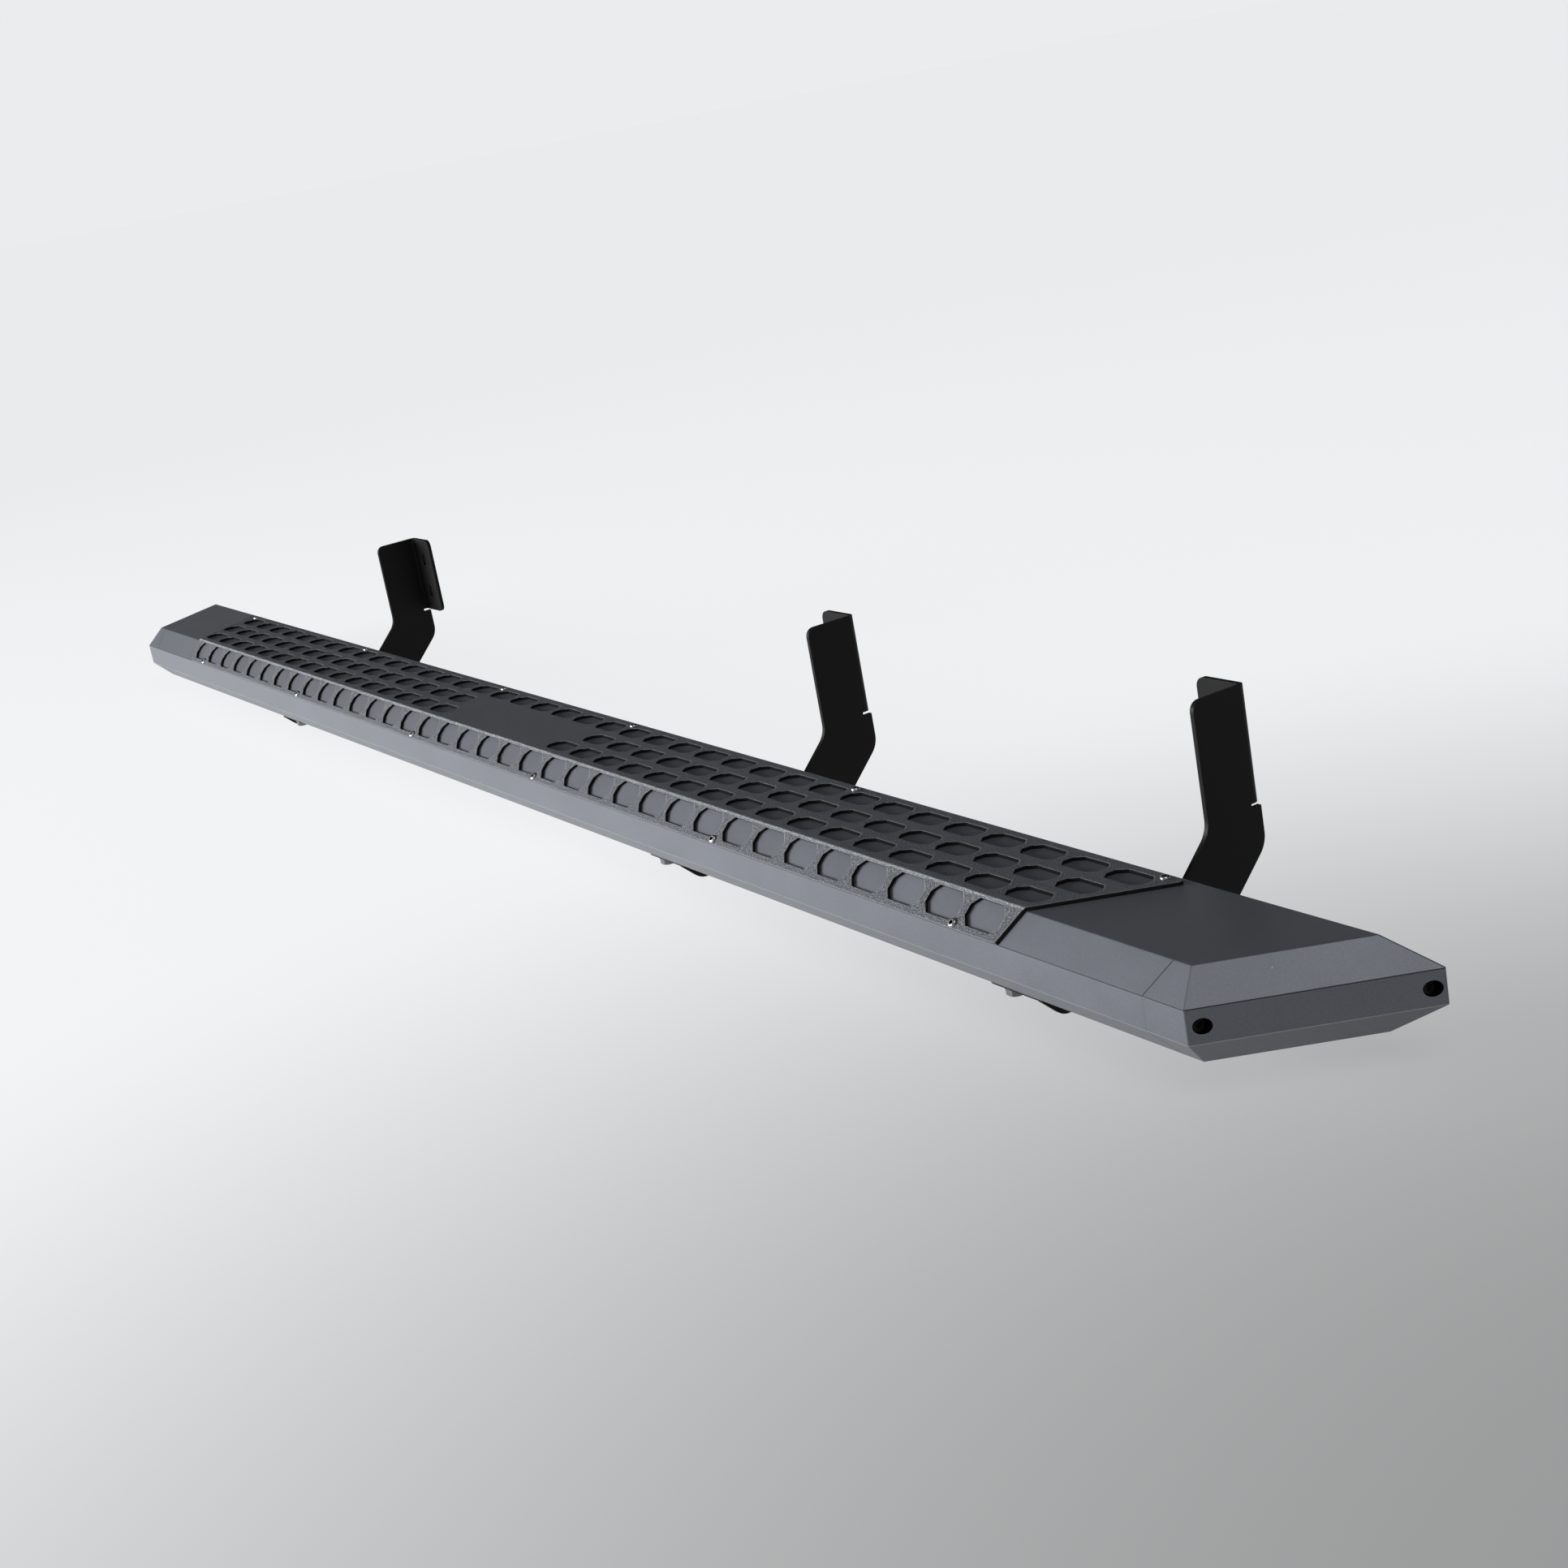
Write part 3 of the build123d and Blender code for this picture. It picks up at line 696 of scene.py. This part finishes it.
print("each lobe or side of a socket has", SEGMENTS // 6, "sections")

# %% [markdown]
# A piece is all the fasteners of one node, in one mesh: each copy is moved to its seat, and the
# object itself stays at the origin. It rides on the body, takes the place of the plain node and
# gets the same material as that node. Edges sharper than a set angle stay sharp, and the rest shade
# smoothly.

# %% Making a piece
SHARP_ANGLE = radians(32)


def piece(name, shapes, material, slot, *nodes):
    whole = bmesh.new()
    for shape, place in shapes:
        mesh = bpy.data.meshes.new("copy")
        shape.to_mesh(mesh)
        shape.free()
        mesh.transform(place)
        whole.from_mesh(mesh)
        bpy.data.meshes.remove(mesh)
    mesh = bpy.data.meshes.new(name)
    whole.to_mesh(mesh)
    whole.free()
    mesh.materials.append(material)
    mesh.shade_smooth()
    mesh.set_sharp_from_angle(angle=SHARP_ANGLE)
    made = bpy.data.objects.new(name, mesh)
    scene.collection.objects.link(made)
    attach(made, "root")
    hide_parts(*nodes)
    print(name, "has", len(shapes), "copies and", len(mesh.polygons), "faces")


def screws_at(found, make):
    return [(make(length / MM), place) for place, length in found]


# %% [markdown]
# The cover screws are button heads with a six-lobed socket. The head is a low dome 7.6 mm across
# with a short straight rim, and the socket is close to half as wide. It is turned first as a round
# hole, and then the hole's rings are pushed in and out six times round to make the lobes. All
# sizes are in millimetres, and the length is the one that was measured at the seat.

# %% Cover screws
LOBE_DEPTH = 0.16
DOME_STEPS = 7


def six_lobes(angle):
    return 1 + LOBE_DEPTH * cos(6 * angle)


def button_screw(length, head=3.8, height=2.2, socket=1.7, depth=1.75, shank=1.9):
    bevel, step_down, rim, tip = 0.12, 0.01, 0.45, 0.4
    dimple, floor_share, edge = 0.15, 0.92, 0.08
    dome_start = socket + 0.35
    dome_rise = height - rim
    profile = [(0.0, -depth - dimple), (socket * floor_share, -depth)]
    profile += [(socket, -bevel), (socket + bevel, 0.0)]
    for step in range(DOME_STEPS + 1):
        turn_by = step / DOME_STEPS * pi / 2
        radius = dome_start + (head - dome_start) * sin(turn_by)
        profile.append((radius, -dome_rise * (1 - cos(turn_by)) - step_down))
    profile += [(head, -height + edge), (head - 0.1, -height), (shank, -height)]
    profile += [(shank, -length + tip), (shank - tip, -length), (0.0, -length)]
    shape = turned(profile)
    # the ring at the hole's mouth is bent with the hole, and the dome's first ring isn't
    reshape_ring(shape, -depth - 0.1, 0.0, socket + 0.2, six_lobes)
    mark_socket_shade(shape, socket * 1.2, -0.05, -depth - 0.2)
    return shape


piece("outboard_cover_screws", screws_at(outboard_seats, button_screw),
      stainless, "stainless", "cover_screws_outboard")
piece("inboard_cover_screws", screws_at(inboard_seats, button_screw),
      stainless, "stainless", "cover_screws_inboard")

# %% [markdown]
# The end caps are held by socket-head screws that sit deep in round counterbores. Little of them
# shows, but their hexagon sockets do when the light falls in. The socket is turned round and then
# pulled into a hexagon, whose radius at any angle is a known share of the radius of its corners.

# %% Cap screws
def hexagon(angle):
    return cos(pi / 6) / cos((angle % (pi / 3)) - pi / 6)


def socket_screw(length, head=4.9, height=6.0, socket=3.2, depth=3.2, shank=3.0):
    bevel, rim, tip = 0.15, 0.35, 0.6
    profile = [(0.0, -depth), (socket, -depth), (socket, -bevel), (socket + bevel, 0.0)]
    profile += [(head - rim, 0.0), (head, -rim), (head, -height), (shank, -height)]
    profile += [(shank, -length + tip), (shank - tip, -length), (0.0, -length)]
    shape = turned(profile)
    reshape_ring(shape, -depth, 0.0, socket + bevel + 0.01, hexagon)
    mark_socket_shade(shape, socket + 0.1, -0.1, -depth - 0.1)
    return shape


for end, outward in (("front", 1), ("rear", -1)):
    found = seats(f"{end}_cap_screws", (outward, 0, 0), ALONG_Y)
    piece(f"{end}_cap_socket_screws", screws_at(found, socket_screw), black_oxide,
          "black_fasteners", f"{end}_cap_screws")
    print_seats(f"{end} cap screw", found)

# %% [markdown]
# Under each bracket's foot are two hexagon bolts on washers. A real hexagon head is cut by a cone,
# so its corners are chamfered and each flat ends in an arc. Turned with forty-eight sections and
# then pulled into a hexagon, the head gets those arcs once the corner's height follows the cone.

# %% Bolts
CONE = tan(radians(30))
ACROSS_FLATS = 13.0
CONE_START = 0.94 * ACROSS_FLATS / 2


def hex_bolt(length, height=5.3, shank=4.0):
    corner = ACROSS_FLATS / 2 / cos(pi / 6)
    tip = 0.8
    profile = [(0.0, 0.0), (CONE_START, 0.0), (corner, -0.6), (corner, -height), (shank, -height)]
    profile += [(shank, -length + tip), (shank - tip, -length), (0.0, -length)]
    shape = turned(profile)
    for vertex in shape.verts:
        radius, angle = around(vertex)
        if radius > (CONE_START + 0.01) * MM:
            wanted = corner * hexagon(angle)
            vertex.co.x *= wanted * MM / radius
            vertex.co.y *= wanted * MM / radius
            if vertex.co.z > -height * MM + SAME_POINT:
                vertex.co.z = -(wanted - CONE_START) * CONE * MM
    return shape


print("the cone leaves a flat disc", round(2 * CONE_START, 1), "mm across on top of the head")

# %% [markdown]
# A stamped washer has a soft rounding on one side and a sharper edge on the other. It has no point
# on its axis, so its profile comes back to where it began. Bolts and washers are then made for
# each bracket in turn.

# %% Washers
def washer(thick, outside=8.0, inside=4.2, round_off=0.3, burr=0.1):
    profile = [(inside, 0.0), (outside - round_off, 0.0), (outside, -round_off)]
    profile += [(outside, -thick + burr), (outside - burr, -thick), (inside, -thick), (inside, 0.0)]
    return turned(profile)


for end in ("front", "middle", "rear"):
    heads = seats(f"bracket_bolts_{end}", (0, 0, -1), ALONG_Y)
    rings = seats(f"bolt_washers_{end}", (0, 0, -1), ALONG_Y)
    piece(f"hex_bolts_{end}", screws_at(heads, hex_bolt), zinc_plate,
          "plated_steel", f"bracket_bolts_{end}")
    piece(f"round_washers_{end}", screws_at(rings, washer), zinc_plate,
          "plated_steel", f"bolt_washers_{end}")
    print_seats(f"{end} bracket bolt", heads)
    print_seats(f"{end} washer", rings)

# %% [markdown]
# The floor is one large pale sheet under the brackets' feet, marked as stage so that it isn't part
# of the object. Its paint is plain, with only a breath of slow variation.

# %% Floor
FLOOR_REACH = 40.0
FLOOR_Z = size_before[0][2]

floor_shape = bmesh.new()
bmesh.ops.create_grid(floor_shape, x_segments=1, y_segments=1, size=FLOOR_REACH)
floor_mesh = bpy.data.meshes.new("floor")
floor_shape.to_mesh(floor_mesh)
floor_shape.free()
floor_mesh.transform(Matrix.Translation((0, 0, FLOOR_Z)))
floor = bpy.data.objects.new("floor", floor_mesh)
scene.collection.objects.link(floor)
floor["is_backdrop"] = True

floor_paint, floor_tree, floor_shader, floor_place = new_material("pale floor", Roughness=0.55)
slow = noise(floor_tree, floor_place, 0.8)
floor_colour = mix_colour(floor_tree, slow, grey(0.8), grey(0.84))
wire(floor_tree, floor_shader, {"Base Color": floor_colour})
floor_mesh.materials.append(floor_paint)
floor_width = max(vertex.co.x for vertex in floor_mesh.vertices) * 2
print("floor at", round(FLOOR_Z / MM, 1), "mm and", round(floor_width), "m wide")

# %% [markdown]
# The floor should look nearly white without any more light on the bar. So what the camera and the
# reflections see is mostly a glow, which Light Path lets through for those rays alone, while all
# other light still falls on plain paint, and the bar's shadow stays. The glow is weaker in a soft
# pool just beyond the bar's near end, so that the end cap has something dark to reflect.

# %% Glow of the floor
GLOW_SHARE = 0.85
GLOW_COLOUR = grey(0.95, 0.012)
POOL_PLACE = (1.8, -0.15, FLOOR_Z)
POOL_INSIDE, POOL_OUTSIDE = 0.2, 1.7
POOL_STRENGTH = 0.3

reach = vector_value(floor_tree, "DISTANCE", floor_place, POOL_PLACE)
pool = remap(floor_tree, reach, POOL_INSIDE, POOL_OUTSIDE, POOL_STRENGTH, 1.0, shape="SMOOTHSTEP")
glow = add_node(floor_tree, "ShaderNodeEmission", {"Color": GLOW_COLOUR, "Strength": pool}).outputs[0]
ray = add_node(floor_tree, "ShaderNodeLightPath").outputs
seen = math_node(floor_tree, "MAXIMUM", ray["Is Camera Ray"], ray["Is Glossy Ray"])
seen = math_node(floor_tree, "MAXIMUM", seen, ray["Is Transmission Ray"])
share_of_glow = math_node(floor_tree, "MULTIPLY", seen, GLOW_SHARE)
layers = {0: share_of_glow, 1: floor_shader.outputs[0], 2: glow}
mixed = add_node(floor_tree, "ShaderNodeMixShader", layers).outputs[0]
wire(floor_tree, floor_tree.nodes["Material Output"], {"Surface": mixed})
print("the pool reaches", POOL_OUTSIDE, "m from its middle, which glows at", POOL_STRENGTH)

# %% [markdown]
# A wide soft lamp stands outboard of the bar and rather low. It makes the bar's outer face the
# lightest, its slope a little darker and its top darkest, and that shows the folded section. A
# narrower spread keeps its light off the floor at its own foot. A second, weaker lamp high beyond
# the near end lights the bevel of the cap. Standard shows each colour about as it is written.

# %% Lamps
scene.view_settings.view_transform = "Standard"


def soft_lamp(name, place, width, height, watts, spread=180):
    data = bpy.data.lights.new(name, "AREA")
    data.shape = "RECTANGLE"
    data.size = width
    data.size_y = height
    data.energy = watts
    data.spread = radians(spread)
    lamp = bpy.data.objects.new(name, data)
    lamp.location = place
    lamp.rotation_mode = "QUATERNION"
    lamp.rotation_quaternion = (-Vector(place)).to_track_quat("-Z", "Y")
    lamp.visible_camera = False
    scene.collection.objects.link(lamp)
    print(name, "at", place, "m,", watts, "W")


soft_lamp("low side lamp", (-2.2, -4.0, 0.8), 3.8, 1.4, 106, spread=80)
soft_lamp("high end lamp", (3.0, -0.4, 3.4), 2.5, 2.5, 52)

# %% [markdown]
# The room around the bar is dim, and lighter outboard than behind the bar, for the same reason as
# the lamps. Near the horizon it is as pale as the floor, so that no line shows where they meet. In
# a world, Generated is the direction in which a ray leaves, and its Z is how high the ray looks.

# %% Room
BRIGHT_SIDE = Vector((0, -1, 0.3)).normalized()
DIM_WALL, BRIGHT_WALL = grey(0.02), grey(0.24)
DIM_FROM, BRIGHT_FROM = -0.3, 0.5
HORIZON = grey(0.84, 0.01)
HORIZON_FULL, HORIZON_NONE = 0.07, 0.15

room = bpy.data.worlds.new("room")
room.use_nodes = True
scene.world = room
room_tree = room.node_tree
toward = add_node(room_tree, "ShaderNodeTexCoord").outputs["Generated"]
turned_to = vector_value(room_tree, "DOT_PRODUCT", toward, BRIGHT_SIDE)
soft = remap(room_tree, turned_to, DIM_FROM, BRIGHT_FROM, shape="SMOOTHSTEP")
walls = mix_colour(room_tree, soft, DIM_WALL, BRIGHT_WALL)
height = axes_of(room_tree, toward)["Z"]
near_horizon = remap(room_tree, height, HORIZON_FULL, HORIZON_NONE, 1.0, 0.0, shape="SMOOTHSTEP")
walls = mix_colour(room_tree, near_horizon, walls, HORIZON)
wire(room_tree, room_tree.nodes["Background"], {"Color": walls})
print("the room's walls go from", DIM_WALL[1], "to", BRIGHT_WALL[1])

# %% [markdown]
# Last, the size of the dressed part is kept beside the size of the frame, since the finish must not
# change how large the part is.

# %% Sizes and finish
size_after = [list(corner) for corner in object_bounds()]
print("dressed size in mm:", in_mm(high - low for low, high in zip(*size_after)))
